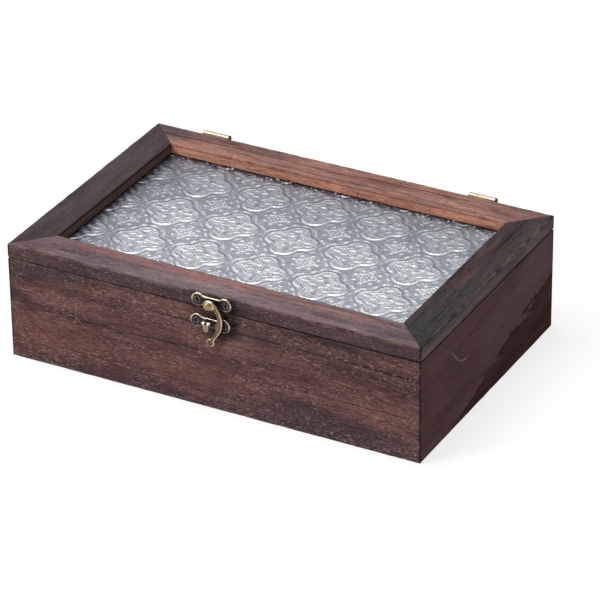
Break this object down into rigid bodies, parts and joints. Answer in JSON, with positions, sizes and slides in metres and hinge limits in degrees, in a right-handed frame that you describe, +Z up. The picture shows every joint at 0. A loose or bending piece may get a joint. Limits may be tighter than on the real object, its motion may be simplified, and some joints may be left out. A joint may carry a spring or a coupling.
{
  "type": "hinged display box with glass lid",
  "caption": "Hinged wooden display box with mitred lid frame, floral figured-glass pane, swing-hook latch in front and small barrel hinges behind.",
  "frame": {"origin": "centre of the flat underside of the box, on the surface it stands on", "axes": "+X along the long side, the latch side faces -Y, the hinges are on +Y, +Z up"},
  "size_m": [0.24, 0.1651, 0.068],
  "materials": {
    "dark_stained_wood": "dark stained, open grain, low sheen",
    "lid_wood": "dark stained, rubbed edges, low sheen",
    "figured_glass": "clear pressed glass with a raised floral pattern",
    "antique_bronze": "antiqued, dark recesses and worn bright edges",
    "hinge_brass": "plain bright brass",
    "dark_screw_metal": "blackened cross-head screws and pins"
  },
  "bodies": {
    "base": {"front_wall": "dark_stained_wood", "back_wall": "dark_stained_wood", "left_wall": "dark_stained_wood", "right_wall": "dark_stained_wood", "bottom_panel": "dark_stained_wood", "catch_plate": "antique_bronze", "catch_plate_screws": "dark_screw_metal", "hinge_left_body_leaf": "hinge_brass", "hinge_right_body_leaf": "hinge_brass", "hinge_left_pin": "dark_screw_metal", "hinge_right_pin": "dark_screw_metal", "hinge_body_screws": "hinge_brass"},
    "lid": {"lid_front_rail": "lid_wood", "lid_back_rail": "lid_wood", "lid_left_rail": "lid_wood", "lid_right_rail": "lid_wood", "glass_pane": "figured_glass", "latch_plate": "antique_bronze", "latch_rivet": "antique_bronze", "latch_plate_screws": "dark_screw_metal", "hinge_left_lid_leaf": "hinge_brass", "hinge_right_lid_leaf": "hinge_brass", "hinge_lid_screws": "hinge_brass"},
    "hook": {"latch_hook": "antique_bronze"}
  },
  "joints": [
    {"name": "lid_hinge", "type": "hinge", "parent": "base", "child": "lid", "pos_m": [0, 0.0801, 0.0667], "axis": [-1, 0, 0], "range_deg": [0, 180]},
    {"name": "hook_swing", "type": "hinge", "parent": "lid", "child": "hook", "pos_m": [0.0011, -0.0815, 0.0623], "axis": [0, -1, 0], "range_deg": [0, 180]}
  ]
}
